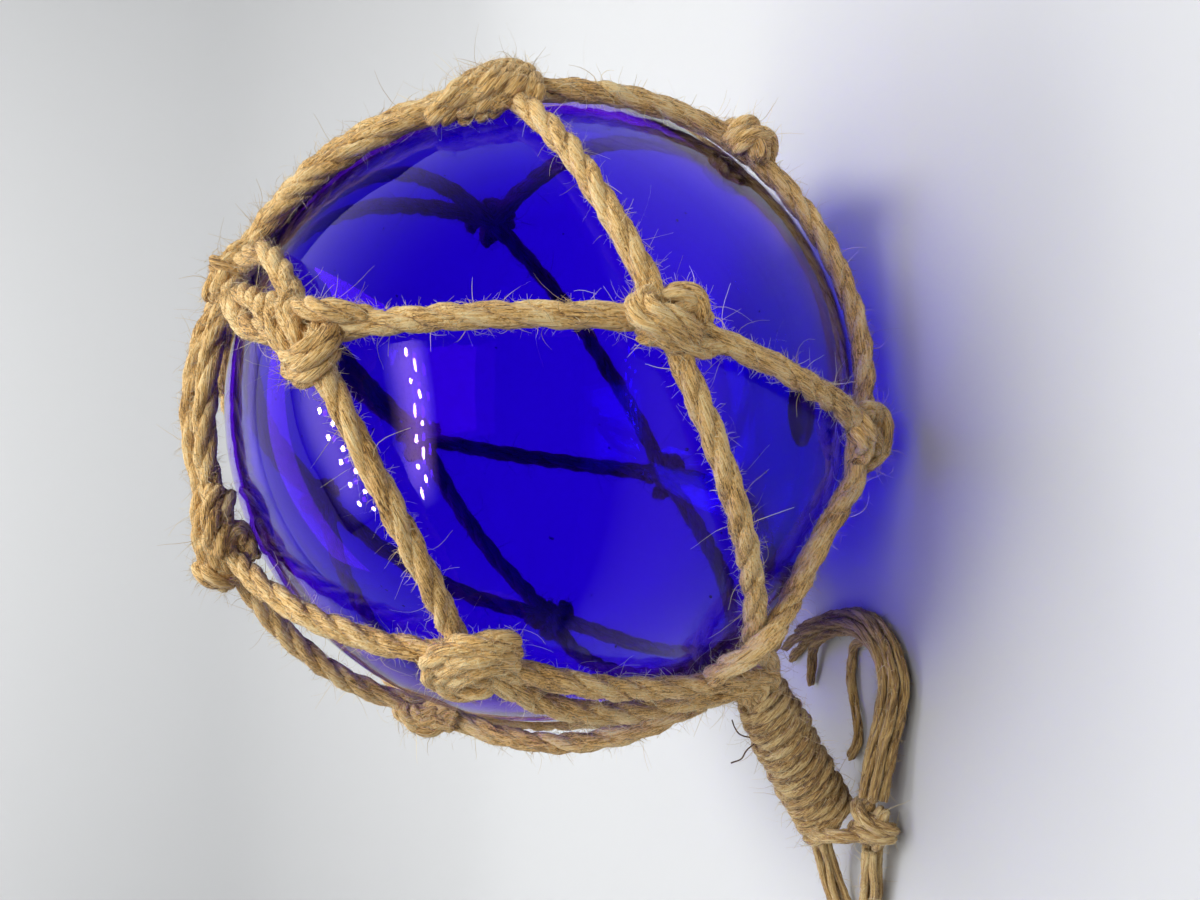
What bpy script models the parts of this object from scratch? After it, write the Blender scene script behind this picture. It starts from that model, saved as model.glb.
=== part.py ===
"""A blown glass float ball in a knotted rope net, lying on its side.

The ball sits on a small flat at the origin. Sizes below are in millimetres and directions on
the ball are in degrees, as (turn about +Z from +X, height above the ball's equator).
"""

import math

import bmesh
import bpy
from mathutils import Matrix, Vector

MM = 0.001
# Points closer than this, in metres, are one.
WELD = 1e-6

# The glass ball. Its lowest ring is the flat that it rests on.
BALL_RADIUS = 75.0
BALL_RINGS = 22
BALL_SIDES = 40

# The rope of the net, and the gap that keeps one solid off the next.
ROPE_DIAMETER = 5.8
ROPE_STEP = 10.5
CLEARANCE = 0.3

# A knot is a lump of crossed rope with turns of the same rope over it.
KNOT_LENGTH = 12.0
KNOT_WIDTH = 10.0
KNOT_HEIGHT = 8.2
KNOT_TURN_PITCH = 4.6
TURN_DIAMETER = 4.6

# The share of a joined skin's triangles that is kept.
SKIN_SHARE = 0.6

# The neck: the net's strands gathered in a core, with cord whipped round it.
GATHER_RADIUS = 8.6
CORE_DIAMETER = 8.6
WHIPPING_DIAMETER = 15.8
WHIPPING_LENGTH = 34.5
WHIPPING_TURNS = 11
WHIPPING_SIDES = 14
GROOVE_SHARE = 0.3
WHIPPING_START = 9.5
NECK_END_HEIGHT = 9.2
NECK_SWING = 38.0

# The knot at the neck's end, measured from the end of the whipping.
END_KNOT_SIZE = 9.4
END_KNOT_HEIGHT = 6.0
END_KNOT_SPACE = 1.3
END_KNOT_BACK = 8.0

# The loop it hangs by, and the loose yarns of the tail.
LOOP_DIAMETER = 5.4
YARN_DIAMETER = 2.1
YARN_GAP = 0.4

# Where the knots of the net lie, the strand that each one is drawn tight along, and its turns.
KNOTS = {
    "crown": ((-20, 66), "front_top", 4),
    "front_top": ((-78, 45), "front_left", 3),
    "right_top": ((-34, 12), "front_middle", 4),
    "back_right": ((41, 5), "back_low", 2),
    "back_top": ((95, 20), "back_left", 2),
    "back_left_top": ((118, 46), "back_left", 2),
    "left_top": ((-161, 67), "left_middle", 2),
    "front_middle": ((-80, -5), "gather", 2),
    "right_low": ((-33, -29), "front_low", 2),
    "back_low": ((108, -40), "gather", 2),
    "back_left": ((142, -8), "gather", 2),
    "left_middle": ((178, 20), "gather", 2),
    "front_left": ((-132, 20), "gather", 3),
    "front_low": ((-96, -49), "gather", 2),
}
GATHER = (-153, -31)

# Strands that run in pairs from the crown, and how far each of the pair strays sideways.
CROWN_PAIRS = {
    "front_top": (4.0, -4.0),
    "right_top": (2.3, -2.3),
    "back_right": (1.0, -9.0),
    "back_top": (-4.0, -8.5),
    "back_left_top": (2.3, -2.3),
    "left_top": (-3.4, 3.4),
}

# Single strands between two knots, with the direction that one is pulled through, if any.
STRANDS = [
    ("front_top", "front_middle", None),
    ("front_top", "front_left", (-108, 31)),
    ("right_top", "front_middle", None),
    ("right_top", "right_low", None),
    ("back_right", "right_low", None),
    ("back_right", "back_low", None),
    ("back_top", "back_low", None),
    ("back_top", "back_left", None),
    ("back_left_top", "back_left", None),
    ("back_left_top", "left_middle", None),
    ("left_top", "left_middle", None),
    ("left_top", "front_left", None),
    ("front_middle", "front_low", None),
    ("right_low", "front_low", (-56, -52)),
    ("front_middle", "gather", None),
    ("front_low", "gather", None),
    ("back_low", "gather", None),
    ("back_low", "gather", (152, -62)),
    ("back_left", "gather", (166, -15)),
    ("back_left", "gather", (165, -26)),
    ("left_middle", "gather", (-170, -4)),
    ("left_middle", "gather", (176, -10)),
    ("front_left", "gather", (-139, -6)),
    ("front_left", "gather", (-148, -5)),
]

# Strands that stand off the glass, by how much at the middle.
LIFTS = {
    ("crown", "left_top"): 3.0,
    ("left_top", "left_middle"): 1.6,
    ("left_middle", "gather"): 2.6,
}

# The loop's route, from the end of the whipping, over the floor and back to the end knot.
LOOP_ROUTE = [
    (-105.5, -19.0, 8.8),
    (-112.0, -17.6, 6.6),
    (-118.6, -18.2, 4.6),
    (-123.2, -21.0, 3.5),
    (-125.0, -25.4, 3.1),
    (-122.8, -29.8, 3.1),
    (-117.4, -33.0, 3.3),
    (-110.6, -35.2, 3.9),
    (-104.6, -36.6, 4.8),
]

# The tail lies on the floor: the bundle's middle, then what each yarn does by itself.
TAIL_ROUTE = [
    (-88.4, -40.4, 6.4),
    (-82.0, -41.4, 5.6),
    (-75.3, -42.6, 4.9),
    (-68.0, -44.6, 4.3),
    (-61.0, -45.2, 4.0),
    (-55.0, -41.6, 4.0),
    (-51.6, -35.2, 4.0),
    (-51.0, -27.8, 4.0),
    (-52.4, -20.4, 4.0),
    (-54.6, -13.0, 4.0),
    (-57.2, -5.6, 4.0),
    (-60.2, 1.6, 4.0),
    (-64.0, 8.4, 4.0),
    (-68.6, 14.6, 4.0),
]
# Place in the bundle (0 is its middle, 1 to 6 go round it), points shared, own points after them.
YARNS = [
    ("tail_yarn_middle", 0, 12, []),
    ("tail_yarn_top", 1, 13, []),
    ("tail_yarn_upper_inner", 2, 10, [(-62.0, -4.0, 3.8), (-67.2, -0.4, 2.2), (-72.8, 2.2, 1.5)]),
    ("tail_yarn_lower_inner", 3, 7, [
        (-57.4, -23.4, 1.8), (-63.0, -20.8, 1.5), (-69.0, -21.2, 1.5), (-75.0, -23.8, 1.5),
        (-81.0, -23.6, 1.5), (-86.2, -20.0, 1.5)]),
    ("tail_yarn_bottom", 4, 14, []),
    ("tail_yarn_lower_outer", 5, 13, []),
    ("tail_yarn_upper_outer", 6, 12, []),
]

ROPE_RADIUS = ROPE_DIAMETER / 2
RING_ANGLE = 180 / BALL_RINGS
BALL_HEIGHT = BALL_RADIUS * math.cos(math.radians(RING_ANGLE))
CORD_RADIUS = (BALL_RADIUS + CLEARANCE + ROPE_RADIUS) / math.cos(math.radians(ROPE_STEP / 2))


def clear_scene():
    for obj in list(bpy.data.objects):
        bpy.data.objects.remove(obj)


def material(name, colour, roughness, alpha=1.0):
    made = bpy.data.materials.new(name)
    made.use_nodes = True
    shader = made.node_tree.nodes["Principled BSDF"]
    shader.inputs["Base Color"].default_value = (*colour, 1.0)
    shader.inputs["Roughness"].default_value = roughness
    shader.inputs["Metallic"].default_value = 0.0
    shader.inputs["Alpha"].default_value = alpha
    made.diffuse_color = (*colour, 1.0)
    return made


def direction(angles):
    turn, height = (math.radians(a) for a in angles)
    return Vector((math.cos(turn) * math.cos(height), math.sin(turn) * math.cos(height), math.sin(height)))


def on_ball(way, radius):
    """The point at that distance from the ball's centre, in millimetres over the floor."""
    return way * radius + Vector((0, 0, BALL_HEIGHT))


def place_of(name):
    return direction(GATHER if name == "gather" else KNOTS[name][0])


def object_of(name, data, collection, look=None):
    made = bpy.data.objects.new(name, data)
    collection.objects.link(made)
    if look:
        data.materials.clear()
        data.materials.append(look)
    return made


def welded(mesh):
    """The mesh closed where its caps meet its sides, with its faces turned out."""
    work = bmesh.new()
    work.from_mesh(mesh)
    bmesh.ops.remove_doubles(work, verts=work.verts, dist=WELD)
    bmesh.ops.recalc_face_normals(work, faces=work.faces)
    work.to_mesh(mesh)
    work.free()
    return mesh


def round_curve(name, points, diameter, resolution):
    """A curve through the points with a round bevel and closed ends."""
    curve = bpy.data.curves.new(name, "CURVE")
    curve.dimensions = "3D"
    curve.bevel_depth = diameter / 2 * MM
    curve.bevel_resolution = resolution
    curve.use_fill_caps = True
    spline = curve.splines.new("POLY")
    spline.points.add(len(points) - 1)
    for slot, point in zip(spline.points, points):
        slot.co = (*(point * MM), 1)
    return curve


def lump(centre, ways, size, helpers, sides=8, rings=6):
    """A sphere stretched to a length, width and height along three ways."""
    mesh = bpy.data.meshes.new("lump")
    work = bmesh.new()
    bmesh.ops.create_uvsphere(work, u_segments=sides, v_segments=rings, radius=0.5)
    work.to_mesh(mesh)
    work.free()
    made = object_of("lump", mesh, helpers)
    turn = Matrix(ways).transposed().to_4x4()
    made.matrix_world = Matrix.Translation(centre * MM) @ turn @ Matrix.Diagonal((*[s * MM for s in size], 1))
    return made


def strand(points, diameter, helpers, resolution=1):
    return object_of("strand", round_curve("strand", points, diameter, resolution), helpers)


def arc(start, end, via=None, stray=0.0, lift=0.0, level=CORD_RADIUS):
    """Points over the ball from one direction to another. It may be pulled through a third
    direction, stray sideways by some degrees, and stand off by a lift at its middle."""
    span = math.degrees(start.angle(end))
    if via:
        span = math.degrees(start.angle(via) + via.angle(end))
    steps = max(3, round(span / ROPE_STEP))
    sideways = start.cross(end).normalized()
    points = []
    for step in range(steps + 1):
        t = step / steps
        way = start.slerp(end, t)
        if via:
            swell = (via - start.slerp(end, 0.5)) * 4 * t * (1 - t)
            way = (way + swell).normalized()
        bow = math.sin(math.pi * t)
        way = (way + sideways * math.radians(stray) * bow).normalized()
        points.append(on_ball(way, level + lift * bow))
    return points


def knot_pieces(centre, along, out, size, turns, helpers):
    """A lump lying along one way on the glass, with turns of rope over it from side to side."""
    along = (along - out * along.dot(out)).normalized()
    across = out.cross(along)
    _, width, height = size
    pieces = [lump(centre, (along, across, out), size, helpers)]
    radius = TURN_DIAMETER / 2
    for turn in range(turns):
        shift = (turn - (turns - 1) / 2) * KNOT_TURN_PITCH
        slant = math.radians(14 if turn % 2 else -10)
        over = (across * math.cos(slant) + along * math.sin(slant)).normalized()
        reach = width / 2 + radius * 0.35
        rise = height / 2 - radius * 0.55
        points = []
        for step in range(6):
            t = math.pi * step / 5
            points.append(centre + along * shift + over * reach * math.cos(t)
                          + out * (rise * math.sin(t) * 1.15 - (height / 2 - radius) * (1 - math.sin(t))))
        pieces.append(strand(points, TURN_DIAMETER, helpers))
    return pieces


def united(pieces, name, helpers):
    """One closed skin round all the pieces."""
    graph = bpy.context.evaluated_depsgraph_get()
    graph.update()
    parts = []
    for piece in pieces:
        mesh = welded(bpy.data.meshes.new_from_object(piece.evaluated_get(graph)))
        part = object_of(f"{name}_part", mesh, helpers)
        part.matrix_world = piece.matrix_world
        parts.append(part)
    for piece in pieces:
        bpy.data.objects.remove(piece)
    base = parts[0]
    join = base.modifiers.new("join", "BOOLEAN")
    join.operation = "UNION"
    join.solver = "EXACT"
    join.operand_type = "COLLECTION"
    group = bpy.data.collections.new(name + "_parts")
    for part in parts[1:]:
        group.objects.link(part)
    join.collection = group
    graph = bpy.context.evaluated_depsgraph_get()
    graph.update()
    skin = bpy.data.meshes.new_from_object(base.evaluated_get(graph))
    skin.transform(base.matrix_world)
    for part in parts:
        bpy.data.objects.remove(part)
    bpy.data.collections.remove(group)
    return thinned(outer_skin(skin), helpers)


def thinned(mesh, helpers):
    """The mesh without most of the small triangles that a union leaves where pieces cross."""
    holder = object_of(mesh.name + "_skin", mesh, helpers)
    decimate = holder.modifiers.new("thin", "DECIMATE")
    decimate.ratio = SKIN_SHARE
    graph = bpy.context.evaluated_depsgraph_get()
    graph.update()
    made = bpy.data.meshes.new_from_object(holder.evaluated_get(graph))
    bpy.data.objects.remove(holder)
    return made


def outer_skin(mesh):
    """The mesh without the closed pockets that are left inside it."""
    work = bmesh.new()
    work.from_mesh(mesh)
    bmesh.ops.triangulate(work, faces=work.faces)
    bmesh.ops.remove_doubles(work, verts=work.verts, dist=WELD)
    unseen = set(work.faces)
    shells = []
    while unseen:
        shell = [unseen.pop()]
        for face in shell:
            for edge in face.edges:
                for other in edge.link_faces:
                    if other in unseen:
                        unseen.discard(other)
                        shell.append(other)
        shells.append(shell)
    shells.sort(key=len)
    inner = [face for shell in shells[:-1] for face in shell]
    bmesh.ops.delete(work, geom=inner, context="FACES")
    work.to_mesh(mesh)
    work.free()
    return mesh


def neck_line():
    """Where the neck starts on the ball, and the point and way at which its whipping ends."""
    start = on_ball(direction(GATHER), BALL_RADIUS + CLEARANCE + GATHER_RADIUS * 0.75)
    reach = WHIPPING_START + WHIPPING_LENGTH
    drop = (start.z - NECK_END_HEIGHT) / reach
    level = math.sqrt(1 - drop * drop)
    swing = math.radians(GATHER[0] - NECK_SWING)
    axis = Vector((level * math.cos(swing), level * math.sin(swing), -drop))
    return start, axis, start + axis * reach


def end_knot_centre():
    """Beside the end of the whipping, on the camera's side, clear of it."""
    _, axis, end = neck_line()
    sideways = Vector((axis.y, -axis.x, 0)).normalized()
    space = WHIPPING_DIAMETER / 2 + END_KNOT_SIZE / 2 + END_KNOT_SPACE
    centre = end - axis * END_KNOT_BACK - sideways * space
    centre.z = END_KNOT_HEIGHT
    return centre


def net_pieces(helpers):
    pieces = []
    for name, (angles, toward, turns) in KNOTS.items():
        out = direction(angles)
        centre = on_ball(out, BALL_RADIUS + CLEARANCE + KNOT_HEIGHT / 2)
        size = (KNOT_LENGTH + (turns - 2) * KNOT_TURN_PITCH, KNOT_WIDTH, KNOT_HEIGHT)
        pieces += knot_pieces(centre, place_of(toward) - out, out, size, turns, helpers)
    for name, strays in CROWN_PAIRS.items():
        lift = LIFTS.get(("crown", name), 0.0)
        for index, stray in enumerate(strays):
            points = arc(place_of("crown"), place_of(name), stray=stray, lift=lift * (1 - index))
            pieces.append(strand(points, ROPE_DIAMETER, helpers))
    for start, end, via in STRANDS:
        points = arc(place_of(start), place_of(end), via=via and direction(via),
                     lift=LIFTS.get((start, end), 0.0))
        pieces.append(strand(points, ROPE_DIAMETER, helpers))
    return pieces + neck_core_pieces(helpers)


def neck_core_pieces(helpers):
    start, axis, end = neck_line()
    out = direction(GATHER)
    side = out.orthogonal().normalized()
    depth = (start - on_ball(out, BALL_RADIUS + CLEARANCE)).length
    size = (2 * GATHER_RADIUS, 2 * GATHER_RADIUS, 2 * depth)
    gathered = lump(start, (side, out.cross(side), out), size, helpers, sides=12, rings=8)
    points = [start, start + axis * WHIPPING_START, end - axis * ROPE_RADIUS]
    return [gathered, strand(points, CORE_DIAMETER, helpers, resolution=4)]


def neck_whipping(collection, look):
    """A sleeve with a ridge for each turn, open along its middle for the core."""
    start, axis, _ = neck_line()
    outer = WHIPPING_DIAMETER / 2
    bore = (CORE_DIAMETER / 2 + CLEARANCE) / math.cos(math.pi / WHIPPING_SIDES)
    pitch = WHIPPING_LENGTH / WHIPPING_TURNS
    groove = outer - pitch * GROOVE_SHARE
    profile = [(bore, WHIPPING_LENGTH), (groove, WHIPPING_LENGTH)]
    for turn in reversed(range(WHIPPING_TURNS)):
        profile.append((outer, (turn + 0.5) * pitch))
        profile.append((groove, turn * pitch))
    profile.append((bore, 0.0))
    mesh = bpy.data.meshes.new("neck_whipping")
    ends = [(k, (k + 1) % len(profile)) for k in range(len(profile))]
    mesh.from_pydata([(radius * MM, 0, along * MM) for radius, along in profile], ends, [])
    made = object_of("neck_whipping", mesh, collection, look)
    made.location = (start + axis * WHIPPING_START) * MM
    made.rotation_euler = axis.to_track_quat("Z", "Y").to_euler()
    wind = made.modifiers.new("wind", "SCREW")
    wind.steps = wind.render_steps = WHIPPING_SIDES
    wind.use_merge_vertices = True
    wind.merge_threshold = WELD
    return made


def smooth_route(points, spacing):
    """Points at an even spacing along a smooth curve through the given ones."""
    ends = [2 * points[0] - points[1]] + points + [2 * points[-1] - points[-2]]
    fine = []
    for a, b, c, d in zip(ends, ends[1:], ends[2:], ends[3:]):
        for step in range(24):
            t = step / 24
            fine.append(0.5 * (2 * b + (c - a) * t + (2 * a - 5 * b + 4 * c - d) * t * t
                               + (3 * b - a - 3 * c + d) * t * t * t))
    fine.append(points[-1])
    gone = [0.0]
    for a, b in zip(fine, fine[1:]):
        gone.append(gone[-1] + (b - a).length)
    count = max(4, round(gone[-1] / spacing))
    even, index = [], 0
    for step in range(count + 1):
        wanted = gone[-1] * step / count
        while index < len(gone) - 2 and gone[index + 1] < wanted:
            index += 1
        share = (wanted - gone[index]) / max(gone[index + 1] - gone[index], 1e-9)
        even.append(fine[index].lerp(fine[index + 1], min(1.0, share)))
    return even


def cord(name, points, diameter, collection, look):
    return object_of(name, round_curve(name, points, diameter, 2), collection, look)


def loop_route():
    _, axis, end = neck_line()
    sideways = Vector((-axis.y, axis.x, 0)).normalized()
    start = end + axis * (CLEARANCE + 0.7) - sideways * (WHIPPING_DIAMETER / 2 - LOOP_DIAMETER / 2 - 1)
    way = (Vector(LOOP_ROUTE[-1]) - end_knot_centre()).normalized()
    finish = end_knot_centre() + way * (END_KNOT_SIZE / 2 + TURN_DIAMETER / 4 + CLEARANCE)
    return [start, start + axis * 2.0] + [Vector(p) for p in LOOP_ROUTE] + [finish]


def bundle_offset(slot, way):
    """How far a yarn lies from the middle of the bundle that runs that way."""
    if slot == 0:
        return Vector((0, 0, 0))
    inward = Vector((-way.y, way.x, 0)).normalized()
    turn = math.radians(60 * slot + 30)
    spread = YARN_DIAMETER + YARN_GAP
    return spread * (math.cos(turn) * -inward + math.sin(turn) * Vector((0, 0, 1)))


def yarn_route(slot, shared, own):
    middle = [Vector(p) for p in TAIL_ROUTE]
    route = []
    for index in range(shared):
        before, after = middle[max(0, index - 1)], middle[min(len(middle) - 1, index + 1)]
        route.append(middle[index] + bundle_offset(slot, (after - before).normalized()))
    return route + [Vector(p) for p in own]


def end_knot_pieces(helpers):
    centre = end_knot_centre()
    size = (END_KNOT_SIZE, END_KNOT_SIZE * 0.94, END_KNOT_SIZE * 0.9)
    along, out = Vector((1, -0.25, 0)), Vector((0, -0.5, 0.87)).normalized()
    return knot_pieces(centre, along, out, size, 2, helpers)


def glass_ball(collection, look):
    """A sphere without its lowest point: the ring round that is closed flat and rests on the floor."""
    mesh = bpy.data.meshes.new("glass_ball")
    work = bmesh.new()
    bmesh.ops.create_uvsphere(work, u_segments=BALL_SIDES, v_segments=BALL_RINGS, radius=BALL_RADIUS * MM)
    lowest = min(work.verts, key=lambda vert: vert.co.z)
    bmesh.ops.dissolve_verts(work, verts=[lowest])
    work.to_mesh(mesh)
    work.free()
    mesh.shade_smooth()
    made = object_of("glass_ball", mesh, collection, look)
    made.location.z = BALL_HEIGHT * MM
    return made


def build():
    clear_scene()
    scene = bpy.context.scene
    scene.unit_settings.system = "METRIC"
    scene.unit_settings.scale_length = 1.0
    float_ball = bpy.data.collections.new("glass_float_ball")
    scene.collection.children.link(float_ball)
    helpers = bpy.data.collections.new("helpers")
    helpers.hide_render = True
    scene.collection.children.link(helpers)
    glass = material("cobalt_glass", (0.012, 0.0, 0.52), 0.05, 0.45)
    jute = material("jute_rope", (0.47, 0.32, 0.16), 0.95)
    yarn = material("jute_yarn", (0.42, 0.28, 0.14), 0.95)

    glass_ball(float_ball, glass)
    object_of("rope_net", united(net_pieces(helpers), "rope_net", helpers), float_ball, jute)
    neck_whipping(float_ball, jute)
    object_of("end_knot", united(end_knot_pieces(helpers), "end_knot", helpers), float_ball, jute)
    cord("hanging_loop", smooth_route(loop_route(), LOOP_DIAMETER * 0.7), LOOP_DIAMETER, float_ball, yarn)
    for name, slot, shared, own in YARNS:
        route = smooth_route(yarn_route(slot, shared, own), YARN_DIAMETER * 2.8)
        cord(name, route, YARN_DIAMETER, float_ball, yarn)


build()
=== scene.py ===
# A blown glass float ball in its knotted jute net, dressed on the CAD frame.
import math

import bmesh
import bpy
import numpy as np
from mathutils import Matrix, Vector


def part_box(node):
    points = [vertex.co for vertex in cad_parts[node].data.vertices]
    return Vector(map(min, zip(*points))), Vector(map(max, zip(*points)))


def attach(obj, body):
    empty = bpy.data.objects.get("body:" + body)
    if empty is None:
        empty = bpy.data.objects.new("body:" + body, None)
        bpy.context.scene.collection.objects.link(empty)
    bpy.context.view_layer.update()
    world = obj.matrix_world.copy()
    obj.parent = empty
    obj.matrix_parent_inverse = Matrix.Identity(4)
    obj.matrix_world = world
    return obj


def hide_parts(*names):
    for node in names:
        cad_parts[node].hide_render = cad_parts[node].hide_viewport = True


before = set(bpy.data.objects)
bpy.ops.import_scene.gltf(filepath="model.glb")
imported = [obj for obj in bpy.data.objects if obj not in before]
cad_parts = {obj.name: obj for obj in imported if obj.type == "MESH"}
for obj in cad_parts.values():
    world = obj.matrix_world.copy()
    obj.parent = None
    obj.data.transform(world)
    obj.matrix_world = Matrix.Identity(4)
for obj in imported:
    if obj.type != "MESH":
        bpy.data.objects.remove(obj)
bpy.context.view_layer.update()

mm = 0.001          # everything below is in millimetres until it becomes a mesh
clearance = 0.3

ballLow, ballHigh = (np.array(corner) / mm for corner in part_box("glass_ball"))
ballRadius = (ballHigh[0] - ballLow[0]) / 2
ballCentre = np.array([0.0, 0.0, ballHigh[2] - ballRadius])
print("ball radius", round(ballRadius, 2), "centre height", round(ballCentre[2], 2))


# Small helpers

def fromHex(code):
    # sRGB hex to the linear colour that shaders take
    parts = [int(code[i:i + 2], 16) / 255 for i in (1, 3, 5)]
    return tuple(c / 12.92 if c <= 0.04045 else ((c + 0.055) / 1.055) ** 2.4 for c in parts) + (1.0,)


def addNode(tree, kind, feeds=None, stops=None, **settings):
    # feeds: input name or number -> a value or another node's output; stops: a ramp's places and colours
    node = tree.nodes.new(kind)
    for name, value in settings.items():
        setattr(node, name, value)
    for name, feed in (feeds or {}).items():
        if isinstance(feed, bpy.types.NodeSocket):
            tree.links.new(feed, node.inputs[name])
        else:
            node.inputs[name].default_value = feed
    if stops:
        ramp = node.color_ramp
        while len(ramp.elements) < len(stops):
            ramp.elements.new(1.0)
        for element, (place, code) in zip(ramp.elements, stops):
            element.position = place
            element.color = fromHex(code)
    return node


def blankMaterial(name):
    made = bpy.data.materials.new(name)
    made.use_nodes = True
    return made, made.node_tree, made.node_tree.nodes["Principled BSDF"]


def unit(way):
    return way / np.linalg.norm(way)


def direction(angles):
    turn, height = (math.radians(a) for a in angles)
    return np.array([math.cos(turn) * math.cos(height), math.sin(turn) * math.cos(height), math.sin(height)])


def between(start, end, t):
    # from one direction to another over the ball
    angle = math.acos(float(np.clip(start @ end, -1, 1)))
    return (start * np.sin((1 - t) * angle)[:, None] + end * np.sin(t * angle)[:, None]) / math.sin(angle)


def distances(line):
    return np.concatenate([[0.0], np.cumsum(np.linalg.norm(np.diff(line, axis=0), axis=1))])


def evenLine(line, step):
    gone = distances(line)
    count = max(4, round(gone[-1] / step))
    wanted = np.linspace(0, gone[-1], count + 1)
    return np.stack([np.interp(wanted, gone, line[:, k]) for k in range(3)], axis=1)


def smoothLine(points, step):
    # a smooth curve through the points, then points at an even spacing along it
    p = np.array(points, float)
    p = np.vstack([2 * p[0] - p[1], p, 2 * p[-1] - p[-2]])
    t = np.linspace(0, 1, 24, endpoint=False)[:, None]
    runs = [0.5 * (2 * b + (c - a) * t + (2 * a - 5 * b + 4 * c - d) * t ** 2
                   + (3 * b - a - 3 * c + d) * t ** 3)
            for a, b, c, d in zip(p, p[1:], p[2:], p[3:])]
    return evenLine(np.vstack(runs + [p[-2:-1]]), step)


def carriedFrames(line, up):
    # the way along the line, and two ways across it that don't spin as they are carried along
    ways = np.gradient(line, axis=0)
    ways /= np.linalg.norm(ways, axis=1)[:, None]
    ups = []
    for way in ways:
        up = unit(up - way * (up @ way))
        ups.append(up)
    ups = np.array(ups)
    return ways, ups, np.cross(ways, ups)


def wander(rng, gone, spacing, columns=1):
    # smooth random values along a line, about -1 to 1
    knots = max(4, int(gone[-1] / spacing) + 3)
    values = rng.uniform(-1, 1, (knots, columns))
    place = np.linspace(0, knots - 1, len(gone))
    low = np.minimum(place.astype(int), knots - 2)
    share = place - low
    share = (share * share * (3 - 2 * share))[:, None]
    return values[low] * (1 - share) + values[low + 1] * share


def addObject(name, data):
    made = bpy.data.objects.new(name, data)
    bpy.context.scene.collection.objects.link(made)
    return made


def makeMesh(name, corners, faces, marks):
    # a smooth mesh from places in mm; marks: name -> kind, field and values of what each corner carries
    mesh = bpy.data.meshes.new(name)
    mesh.from_pydata((corners * mm).tolist(), [], faces)
    for mark, (kind, field, values) in marks.items():
        mesh.attributes.new(mark, kind, "POINT").data.foreach_set(field, values)
    mesh.shade_smooth()
    return mesh


def addPiece(name, mesh, look, replaced=()):
    piece = addObject(name, mesh)
    mesh.materials.append(look)
    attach(piece, "root")
    if replaced:
        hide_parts(*replaced)
    return piece


def meshFromTubes(name, tubes):
    # closed tubes. Each point keeps its place in the straight, unbent rope, and how proud of its middle it is,
    # which sets the jute's painted shade in the grooves
    corners, marks, faces, used = [], [], [], 0
    for rings, mark in tubes:
        count, sides = rings.shape[:2]
        corners.append(rings.reshape(-1, 3))
        marks.append(mark.reshape(-1, 4))
        index = used + np.arange(count * sides).reshape(count, sides)
        beside = np.roll(index, -1, axis=1)
        faces += np.stack([index[:-1], beside[:-1], beside[1:], index[1:]], axis=-1).reshape(-1, 4).tolist()
        faces += [index[0, ::-1].tolist(), index[-1].tolist()]
        used += count * sides
    marks = np.vstack(marks).astype(np.float32)
    return makeMesh(name, np.vstack(corners), faces, {"lay": ("FLOAT_VECTOR", "vector", marks[:, :3].ravel()),
                                                      "proud": ("FLOAT", "value", marks[:, 3].copy())})


def layRope(line, up, radius, rope, rng):
    # strands wound round each other. Their fibres run along the rope, as they do where the strands'
    # own twist goes the other way, so the marks keep the distance along the rope and the place across it
    ways, ups, sides = carriedFrames(line, up)
    gone = distances(line)
    radius = np.broadcast_to(radius, len(line))
    corner = np.linspace(0, 2 * math.pi, rope["sides"], endpoint=False)
    start = rng.uniform(0, 900)
    loose = wander(rng, gone, rope["lay"], 1)[:, 0] * rope["loose"]
    first = rng.uniform(0, 2 * math.pi)
    tubes = []
    for strand in range(rope["strands"]):
        turn = first + 2 * math.pi * (gone / rope["lay"] + strand / rope["strands"]) + loose
        uneven = wander(rng, gone, 7.0, 2) * rope["uneven"]
        offset = radius * (1 - rope["strandShare"]) * (1 + uneven[:, 0])
        size = radius[:, None] * rope["strandShare"] * (
            1 + uneven[:, 1:] + wander(rng, gone, 2.2, rope["sides"]) * rope["ridges"])
        size = size * endTaper(gone, radius, rope.get("taper", (0, 0)))[:, None]
        angle = corner[None, :] + turn[:, None]
        x = offset[:, None] * np.cos(turn)[:, None] + size * np.cos(angle)
        y = offset[:, None] * np.sin(turn)[:, None] + size * np.sin(angle)
        rings = line[:, None, :] + ups[:, None, :] * x[..., None] + sides[:, None, :] * y[..., None]
        along = np.broadcast_to((gone + start + 40 * strand)[:, None], x.shape)
        tubes.append((rings, np.stack([along, x, y, np.hypot(x, y) / radius[:, None]], axis=-1)))
    return tubes


def endTaper(gone, radius, taper):
    # rounds off a strand's first and last millimetres, where taper gives their lengths
    size = np.ones(len(gone))
    for length, back in ((taper[0], gone), (taper[1], gone[-1] - gone)):
        if length:
            near = np.clip(back / length, 0, 1)
            size *= 0.25 + 0.75 * np.sqrt(1 - (1 - near) ** 2)
    return size


def keepOff(points, gap):
    # points pushed out of the glass and up off the floor
    away = points - ballCentre
    far = np.linalg.norm(away, axis=-1, keepdims=True)
    points = ballCentre + away * np.maximum(1, (ballRadius + gap) / far)
    points[..., 2] = np.maximum(points[..., 2], gap)
    return points


# Camera

camera = {
    "eye": (-9.9, -254.0, 123.4),     # mm, over the flat that the ball rests on
    "lookDown": 14.0,                 # degrees; the picture's left side is up
    "focal": 31.17,
    "sensor": 36.0,
    "picture": (1200, 900),           # the size that the places below are given in
}


def cameraWays():
    down = math.radians(camera["lookDown"])
    right = Vector((0, -math.sin(down), -math.cos(down)))
    top = Vector((1, 0, 0))
    return right, top, right.cross(top)


def placeCamera():
    turn = Matrix(cameraWays()).transposed().to_4x4()
    lens = bpy.data.cameras.new("camera")
    lens.lens = camera["focal"]
    lens.sensor_fit = "HORIZONTAL"
    lens.sensor_width = camera["sensor"]
    lens.clip_start = 0.01
    eye = addObject("camera", lens)
    eye.matrix_world = Matrix.Translation(Vector(camera["eye"]) * mm) @ turn
    bpy.context.scene.camera = eye


placeCamera()


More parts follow.
